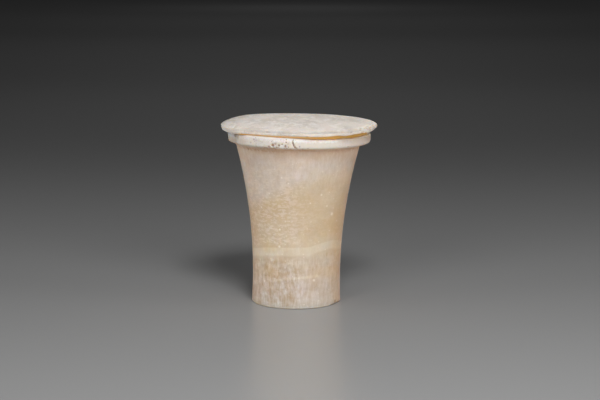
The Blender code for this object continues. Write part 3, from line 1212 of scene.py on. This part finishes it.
def layer_ramp(level):
    """A colour ramp whose stops are given as heights."""
    ramp = add_node(level.tree, "ShaderNodeValToRGB", {0: level / RAMP_TOP})
    elements = ramp.node.color_ramp.elements
    while len(elements) < len(LAYER_COLOURS):
        elements.new(0.5)
    for element, (height, colour) in zip(elements, LAYER_COLOURS):
        element.position = height / RAMP_TOP
        element.color = (*colour, 1.0)
    return ramp["Color"]


def layered_colour(where):
    """The colours of the layers alone: ramp, thin line, pale band and pinkish top."""
    colour = layer_ramp(where["layer"])
    from_line = where["X"] * -THIN_LINE_SLOPE + where["level"] - THIN_LINE_HEIGHT
    line = soft_step(from_line.maths("ABSOLUTE"), 0.0011, 0.0002, 0.0, 0.55)
    colour = blend_colours(line * stone_zone(where, "thin line"), colour, BAND_COLOUR)
    colour = blend_colours(stone_zone(where, "band"), colour, BAND_COLOUR)
    pink = soft_step(where["X"] * -PINK_SLOPE + where["level"], 0.0525, 0.0610, 0.0, 0.9)
    return blend_colours(pink, colour, PINK_COLOUR)


print("layers from", LAYER_COLOURS[0][0], "to", LAYER_COLOURS[-1][0])

# %% [markdown]
# ## Fibres, flakes and crystals
# Up close the stone isn't flat in colour. Below the pale band it has upright fibres and
# blotches, above it pale flakes lie like scales, and clouds go over everything. A few warmer
# and paler patches and the larger white crystals have places of their own.

# %% Tints, crystals and patches
FLAKE_COLOUR = (0.72, 0.62, 0.53)
FLECK_COLOUR = (0.86, 0.80, 0.72)
FIBRE_TINT = (0.17, 0.25, 0.37)
BLOTCH_TINT = (0.30, 0.50, 0.75)
CLOUD_TINT = (0.16, 0.28, 0.46)
PATCH_TINT = (-0.01, -0.07, -0.19)
GRAIN_TINT = (0.30, 0.34, 0.38)

# Each crystal: x, y, z, size.
CRYSTALS = (
    (-0.0069, -0.0265, 0.0658, 0.0007),
    (-0.0036, -0.0266, 0.0631, 0.0007),
    (-0.0129, -0.0220, 0.0575, 0.0007),
    (-0.0169, -0.0173, 0.0500, 0.0008),
    (0.0124, -0.0231, 0.0570, 0.0008),
    (0.0176, -0.0173, 0.0467, 0.0012),
    (0.0151, -0.0202, 0.0511, 0.0007),
    (0.0070, -0.0244, 0.0531, 0.0006),
    (-0.0079, -0.0218, 0.0397, 0.0007),
    (-0.0081, -0.0209, 0.0311, 0.0009),
    (0.0088, -0.0202, 0.0142, 0.0010),
    (-0.0156, -0.0154, 0.0128, 0.0009),
)
# Each patch: x, z, half width, half height, warmth.
PATCHES = (
    (-0.0120, 0.0180, 0.0055, 0.0050, 0.8),
    (-0.0190, 0.0230, 0.0055, 0.0055, -0.5),
    (-0.0125, 0.0300, 0.0060, 0.0035, 0.7),
    (0.0155, 0.0175, 0.0080, 0.0040, 0.8),
    (0.0080, 0.0240, 0.0130, 0.0035, -0.5),
    (-0.0060, 0.0205, 0.0070, 0.0028, -0.7),
    (0.0020, 0.0105, 0.0055, 0.0045, -0.4),
    (-0.0090, 0.0520, 0.0080, 0.0045, 0.6),
    (0.0170, 0.0400, 0.0080, 0.0060, 0.5),
)
print("crystals and patches:", len(CRYSTALS), len(PATCHES))


# %% Texture of the banded stone
def joined(values, operation):
    """All the values joined one after another by a Math operation."""
    first, *others = values
    for value in others:
        first = first.maths(operation, value)
    return first


def crystals(place):
    """White spots at the places of the larger crystals."""
    spots = []
    for *middle, size in CRYSTALS:
        inputs = {0: place, 1: middle}
        away = add_node(place.tree, "ShaderNodeVectorMath", inputs, operation="DISTANCE")
        spots.append(soft_step(away["Value"], size, 0.2 * size))
    return joined(spots, "MAXIMUM")


def soft_patches(where):
    """A sum of soft oval patches on the front, warmer above zero and paler below it."""
    patches = []
    for x, z, half_width, half_height, warmth in PATCHES:
        across = where["X"].maths("MULTIPLY_ADD", 1.0 / half_width, -x / half_width)
        upwards = where["Z"].maths("MULTIPLY_ADD", 1.0 / half_height, -z / half_height)
        patches.append(soft_step(across * across + upwards * upwards, 1.0, 0.1, 0.0, warmth))
    return joined(patches, "ADD")


def textured_colour(colour, place, where):
    """Fibres and blotches below the band, flakes above it, and clouds everywhere."""
    fibres = use_group(place, fibre) - 0.5
    threads = use_group(place, fibre, across=1300.0, along=260.0) - 0.5
    below = stone_zone(where, "below band")
    reach = below.maths("MAXIMUM", stone_zone(where, "near rim"))
    colour = tinted(colour, (threads * 0.6 + fibres * 0.7) * reach, FIBRE_TINT)
    blotches = noise(stretched(place, (260.0, 260.0, 420.0)), 1.0, 3.0, 0.6, 0.5) - 0.5
    colour = tinted(colour, blotches * below, BLOTCH_TINT)
    flakes = soft_step(use_group(place, flake), 0.28, 0.70, 0.0, 0.70)
    colour = blend_colours(flakes * stone_zone(where, "flakes"), colour, FLAKE_COLOUR)
    colour = tinted(colour, noise(place, 95.0, 3.0, 0.6, 0.6) - 0.5, CLOUD_TINT)
    colour = tinted(colour, soft_patches(where), PATCH_TINT)
    colour = tinted(colour, use_group(place, grain)["Tone"] - 0.5, GRAIN_TINT)
    flecks = use_group(place, fleck, scale=560.0, size=0.28, share=0.25) * 0.55
    flecks = flecks.maths("MAXIMUM", crystals(place) * 0.6)
    return blend_colours(flecks, colour, FLECK_COLOUR)


print("texture made of:", grain.name, fibre.name, flake.name, fleck.name)

# %% [markdown]
# ## Foot, painted shade and painted light on the sides
# The foot's lowest edge is painted pale as a painted highlight, with a dark line of painted shade
# where it meets the ground, and the hollow under the rim is painted dark brown: painted shade, with
# some dirt. The jar's sides are painted warmer, for light that passes through more stone there, and
# the left one is also painted brighter. The painted number "sideways" tells how far round a point
# lies, so these tints stay on the stone and don't slide with the camera.

# %% Colours of the foot, the painted shade and dirt, and the sides' painted light
FOOT_HIGHLIGHT_COLOUR = (0.74, 0.61, 0.47)
STAIN_AND_CONTACT_SHADE_COLOUR = (0.31, 0.18, 0.085)
DIRT_AND_SHADE_COLOUR = (0.40, 0.195, 0.07)
WARM_SIDE_LIGHT_TINT = (1.0, 0.83, 0.66)
SIDE_LIGHT_TINTS = {
    "left side": (0.20, 0.20, 0.18),
    "left edge": (0.22, 0.18, 0.20),
    "right edge": (0.09, 0.08, 0.09),
    "outline": (0.0, -0.11, -0.19),
}


def with_foot_and_sides(colour, speckle, where):
    """Adds the foot's painted highlight and shade, painted shade with dirt under the rim, and painted
    side light.
    """
    # Painted highlight: the foot's lowest edge is painted pale peach.
    colour = blend_colours(stone_zone(where, "foot"), colour, FOOT_HIGHLIGHT_COLOUR)
    # Painted shade: a dark line at the very bottom, where the foot meets the ground.
    colour = blend_colours(stone_zone(where, "contact"), colour, STAIN_AND_CONTACT_SHADE_COLOUR)
    # Painted shade with some dirt under the rim, broken up by a speckle.
    dirt_and_shade = attribute(colour.tree, "dirt_and_shade") * soft_step(speckle, 0.36, 0.60, 0.35, 1.0)
    colour = blend_colours(dirt_and_shade, colour, DIRT_AND_SHADE_COLOUR)
    # Painted light: the sides and the outline are painted warmer, and the left side and both edges
    # brighter.
    colour = blend_colours(stone_zone(where, "warm side"), colour, WARM_SIDE_LIGHT_TINT, "MULTIPLY")
    for name, tint in SIDE_LIGHT_TINTS.items():
        colour = tinted(colour, stone_zone(where, name), tint)
    return colour


print("side tints:", list(SIDE_LIGHT_TINTS))

# %% [markdown]
# ## Chalky rim, stains and pits
# The rim's face is weathered to chalk, with a painted highlight on its bright lip and a painted
# glow in a thin line along its top, specked with rust at the left and open in small brown pits.
# Each is a colour laid over the stone through its painted number. The neck under the rim has a
# faint painted glow that lightens its shade, standing for light that has come through the stone
# above it.

# %% Colours of the rim
CHALK_COLOUR = (0.63, 0.58, 0.52)
CREAM_COLOUR = (0.63, 0.55, 0.45)
LIP_CHALK_AND_HIGHLIGHT_COLOUR = (0.84, 0.81, 0.79)
RUST_COLOUR = (0.42, 0.27, 0.16)
PIT_COLOUR = (0.30, 0.18, 0.10)
NECK_PAINTED_GLOW = (0.145, 0.083, 0.042)
LIP_PAINTED_GLOW = (0.22, 0.25, 0.26)
NO_GLOW = (0.0, 0.0, 0.0)


def chalky_colour(place, speckle, where):
    """Chalk and cream in clouds, a lip of pale chalk with a painted highlight, and specks of rust."""
    cream = soft_step(noise(place, 380.0, 3.0, 0.65, 0.4), 0.44, 0.62, 0.0, 0.45)
    colour = blend_colours(cream, CHALK_COLOUR, CREAM_COLOUR)
    # The lip is near-white chalk with a painted highlight on it, strongest at the left and front.
    lip = soft_step(speckle * 0.8 + attribute(place.tree, "lip"), 0.45, 1.2)
    colour = blend_colours(lip, colour, LIP_CHALK_AND_HIGHLIGHT_COLOUR)
    rust = soft_step(noise(place, 1500.0, 2.0, 0.5), 0.60, 0.72, 0.0, 0.6)
    return blend_colours(rust * stone_zone(where, "rust"), colour, RUST_COLOUR)


def with_rim(colour, place, speckle, where):
    """Adds the chalky rim, the stains and the pits."""
    tree = place.tree
    chalky = chalky_colour(place, speckle, where)
    colour = blend_colours(attribute(tree, "chalk"), colour, chalky)
    stain = soft_step(attribute(tree, "stain"), 0.05, 0.6, 0.0, 0.7)
    colour = blend_colours(stain, colour, STAIN_AND_CONTACT_SHADE_COLOUR)
    pits = (attribute(tree, "pit") * 0.85).maths("MAXIMUM", attribute(tree, "marks"))
    frayed = noise(place, 2300.0, 2.0, 0.6) - 0.5
    pits = soft_step(frayed * 0.6 + pits, 0.15, 0.65, 0.0, 0.85)
    return blend_colours(pits, colour, PIT_COLOUR)


print("rim colours, chalk to lip:", CHALK_COLOUR, LIP_CHALK_AND_HIGHLIGHT_COLOUR)

# %% Put the banded stone together
BANDED_SHADER = {
    "Subsurface Weight": 1.0,
    "Subsurface Radius": (1.0, 0.72, 0.45),
    "Subsurface Scale": 0.006,
    "Sheen Weight": 0.2,
    "Sheen Roughness": 0.4,
    "Emission Strength": 1.0,
}
BASE_ROUGHNESS = 0.45
CHALK_ROUGHNESS = 0.25
JAR_BUMP = 0.00005
LID_BUMP = 0.00006


def bump(height, distance):
    """A normal from a fine height."""
    inputs = {"Height": height, "Distance": distance, "Strength": 1.0}
    return add_node(height.tree, "ShaderNodeBump", inputs)


def banded_stone(material):
    """Honey banded travertine with a chalky rim."""
    shader, place = start_material(material, BANDED_SHADER)
    tree = place.tree
    where = layered(place)
    speckle = noise(place, 900.0, 2.0, 0.6)
    colour = textured_colour(layered_colour(where), place, where)
    colour = with_foot_and_sides(colour, speckle, where)
    # Painted light: a faint glow fills the shade on the neck under the rim, and a painted highlight
    # glows in a thin line along the rim's lip.
    glow = blend_colours(attribute(tree, "shade"), NO_GLOW, NECK_PAINTED_GLOW)
    finish = {
        "Base Color": with_rim(colour, place, speckle, where),
        "Roughness": attribute(tree, "chalk") * CHALK_ROUGHNESS + BASE_ROUGHNESS,
        "Emission Color": blend_colours(attribute(tree, "lip line"), glow, LIP_PAINTED_GLOW),
        "Normal": bump(use_group(place, grain)["Height"], JAR_BUMP),
    }
    fill(shader, finish)


banded_stone(jar_stone)
print("banded stone:", len(jar_stone.node_tree.nodes), "nodes")

# %% [markdown]
# ## The clouded stone of the lid
# The lid is paler and has no bands: only soft grey and pink clouds, with a duller skin than
# the jar. Its rolled top edge is painted darker, as painted shade where the light would make a
# highlight, and the same painted number makes its left top and left end darker and its right end
# lighter. Its lower edge is thin enough to let light through, so the cut-away underside glows
# amber where it meets the jar, milky near the middle and clear towards the ends, and the side
# above it glows a very little. A stone lit from behind could be traced with light paths alone,
# but that is noisy and slow. Here the amber is painted light: a colour with a faint glow of its
# own, limited to the points that were painted as seam, and the side's faint glow is painted too.

# %% Paint the clouded stone
LID_COLOUR = (0.71, 0.64, 0.57)
LID_CLOUD_COLOUR = (0.58, 0.51, 0.44)
LID_PALE_COLOUR = (0.79, 0.73, 0.67)
LID_SPECK_TINT = (0.22, 0.25, 0.30)
LID_ROLL_SHADE_AND_END_TINT = (-0.20, -0.19, -0.175)
AMBER_COLOUR = (0.50, 0.28, 0.08)
AMBER_GLOW = (0.28, 0.14, 0.03)
MILKY_AMBER_COLOUR = (0.54, 0.36, 0.17)
MILKY_AMBER_GLOW = (0.29, 0.17, 0.065)
MILKY_MIDDLE = -0.0055
DIM_END_TINT = (-0.40, -0.38, -0.45)
THIN_GLOW = (0.12, 0.12, 0.12)
CLOUDED_SHADER = {
    "Roughness": 0.7,
    "Subsurface Weight": 1.0,
    "Subsurface Radius": (1.0, 0.75, 0.5),
    "Subsurface Scale": 0.004,
    "Specular IOR Level": 0.15,
    "Emission Strength": 1.0,
}


def clouded_colour(place, clouds):
    """Soft clouds with paler patches, painted shade on the rolled top edge, a darker left and lighter
    right.
    """
    tones = soft_step(clouds["Tone"], 0.38, 0.58)
    colour = blend_colours(tones, LID_CLOUD_COLOUR, LID_COLOUR)
    patches = noise(stretched(place, (1.0, 0.4, 1.0)), 240.0, 4.0, 0.65, 0.5)
    colour = blend_colours(soft_step(patches, 0.50, 0.64, 0.0, 0.8), colour, LID_PALE_COLOUR)
    colour = tinted(colour, noise(place, 700.0, 2.0, 0.6) - 0.5, LID_SPECK_TINT)
    return tinted(colour, attribute(place.tree, "roll"), LID_ROLL_SHADE_AND_END_TINT)


def clouded_stone(material):
    """Pale travertine with soft clouds and an amber seam."""
    shader, place = start_material(material, CLOUDED_SHADER)
    tree = place.tree
    clouds = use_group(stretched(place, (1.0, 0.4, 1.0)), grain, cloud_scale=110.0)
    seam = attribute(tree, "seam")
    side = add_node(tree, "ShaderNodeSeparateXYZ", {0: place})["X"]
    milky = soft_step((side - MILKY_MIDDLE).maths("ABSOLUTE"), 0.017, 0.009)
    amber = blend_colours(milky, AMBER_COLOUR, MILKY_AMBER_COLOUR)
    colour = blend_colours(seam, clouded_colour(place, clouds), amber)
    pits = attribute(tree, "pit").maths("MAXIMUM", attribute(tree, "marks"))
    pits = soft_step(pits, 0.15, 0.8, 0.0, 0.5)
    glow = blend_colours(attribute(tree, "thin"), NO_GLOW, THIN_GLOW)
    amber_glow = blend_colours(milky, AMBER_GLOW, MILKY_AMBER_GLOW)
    amber_glow = tinted(amber_glow, soft_step(side, 0.018, 0.023), DIM_END_TINT)
    finish = {
        "Base Color": blend_colours(pits, colour, PIT_COLOUR),
        "Emission Color": blend_colours(seam, glow, amber_glow),
        "Normal": bump(clouds["Height"], LID_BUMP),
    }
    fill(shader, finish)


clouded_stone(lid_stone)
print("clouded stone:", len(lid_stone.node_tree.nodes), "nodes")

# %% [markdown]
# ## Taking the places of the solids
# Each fine mesh now stands for its solid. It rides on the same body and hides the solid, which
# stays as the shape that collides.

# %% Replace the solids
PIECES = (
    (jar, "jar", "banded_travertine"),
    (lid, "lid", "pale_travertine"),
)

for piece, node, slot in PIECES:
    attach(piece, "root")
    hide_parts(node)
    points = read_points(piece.data)

# %% [markdown]
# ## Floor, light and camera
# The jar stands on a plain floor that runs far back and falls into shade, so it needs no wall
# behind it. A bright soft box hangs in front of the jar and above it, and weaker ones stand
# round it. Two low lights graze its sides and one its front. These three are kept out of mirror
# reflections, or the floor would show them as white patches in a view from the side. Four washes
# light the floor behind the jar, each one farther back, so that the floor darkens slowly. The
# camera looks down on the jar a little from the front.

# %% Lay the floor
FLOOR_HALF_SIZE = 14.0
FLOOR_SHADER = {"Base Color": (0.276, 0.276, 0.276), "Roughness": 0.32, "IOR": 1.35}


def lay_floor():
    """A large plain floor that isn't part of the object."""
    side = FLOOR_HALF_SIZE
    corners = [(-side, -side, 0.0), (side, -side, 0.0), (side, side, 0.0), (-side, side, 0.0)]
    mesh = bpy.data.meshes.new("studio floor")
    mesh.from_pydata(corners, [], [(0, 1, 2, 3)])
    floor = new_object("studio_floor", mesh)
    material = bpy.data.materials.new("grey paper floor")
    material.use_nodes = True
    fill(material.node_tree.nodes["Principled BSDF"], FLOOR_SHADER)
    mesh.materials.append(material)
    return floor


floor = lay_floor()
print("floor:", floor.name)

# %% Hang the lights
JAR_MIDDLE = (0.0, 0.0, 0.05)
WIDE = 180.0
# Each light: name, place, what it faces, side, spread in degrees, power in watts.
LIGHTS = (
    ("key soft box", (0.070, -0.453, 0.525), JAR_MIDDLE, 0.16, WIDE, 2.98),
    ("right fill", (0.274, -0.515, 0.360), JAR_MIDDLE, 0.25, WIDE, 1.18),
    ("left fill", (-0.274, -0.515, 0.360), JAR_MIDDLE, 0.25, WIDE, 0.75),
    ("low front light", (-0.230, -0.870, 0.160), JAR_MIDDLE, 0.25, WIDE, 0.44),
    ("front left light", (-0.400, -0.693, 0.250), JAR_MIDDLE, 0.30, WIDE, 0.42),
    ("low right light", (0.870, -0.230, 0.160), JAR_MIDDLE, 0.25, WIDE, 1.72),
    ("low left light", (-0.870, -0.230, 0.160), JAR_MIDDLE, 0.25, WIDE, 1.38),
    ("back left light", (-0.773, 0.207, 0.250), JAR_MIDDLE, 0.30, WIDE, 0.22),
    ("overhead soft box", (0.0, 0.05, 0.90), JAR_MIDDLE, 0.50, WIDE, 0.42),
    ("near floor wash", (0.0, 0.80, 1.00), (0.0, 1.40, 0.0), 0.40, 90.0, 0.32),
    ("middle floor wash", (0.0, 1.50, 1.50), (0.0, 2.50, 0.0), 0.40, 80.0, 0.46),
    ("far floor wash", (0.0, 3.00, 1.30), (0.0, 3.80, 0.0), 0.40, 100.0, 0.36),
    ("farthest floor wash", (0.0, 4.20, 0.80), (0.0, 4.50, 0.0), 0.30, 100.0, 0.135),
)
WORLD_COLOUR = (0.026, 0.026, 0.026)


def area_light(name, place, target, size, spread_deg, power):
    """A square area light that faces a target and spreads over an angle."""
    data = bpy.data.lights.new(name, "AREA")
    data.shape = "SQUARE"
    data.size = size
    data.spread = math.radians(spread_deg)
    data.energy = power
    light = new_object(name, data)
    light.location = place
    light.visible_glossy = not name.startswith("low")
    direction = Vector(target) - Vector(place)
    light.rotation_euler = direction.to_track_quat("-Z", "Y").to_euler()


for setting in LIGHTS:
    area_light(*setting)

world = bpy.data.worlds.new("dim studio")
world.use_nodes = True
fill(world.node_tree.nodes["Background"], {"Color": WORLD_COLOUR})
bpy.context.scene.world = world
bpy.context.scene.view_settings.view_transform = "Standard"
print("lights:", [light.name for light in bpy.data.lights])

# %% Set up the camera
CAMERA_PLACE = (0.00197, -0.740, 0.17084)
CAMERA_PITCH_DEG = 9.216
LENS_MM = 90.0
SENSOR_MM = 36.0

camera_data = bpy.data.cameras.new("studio camera")
camera_data.lens = LENS_MM
camera_data.sensor_width = SENSOR_MM
camera = new_object("studio camera", camera_data)
camera.location = CAMERA_PLACE
camera.rotation_euler = (math.radians(90.0 - CAMERA_PITCH_DEG), 0.0, 0.0)
bpy.context.scene.camera = camera
print("camera at", CAMERA_PLACE)
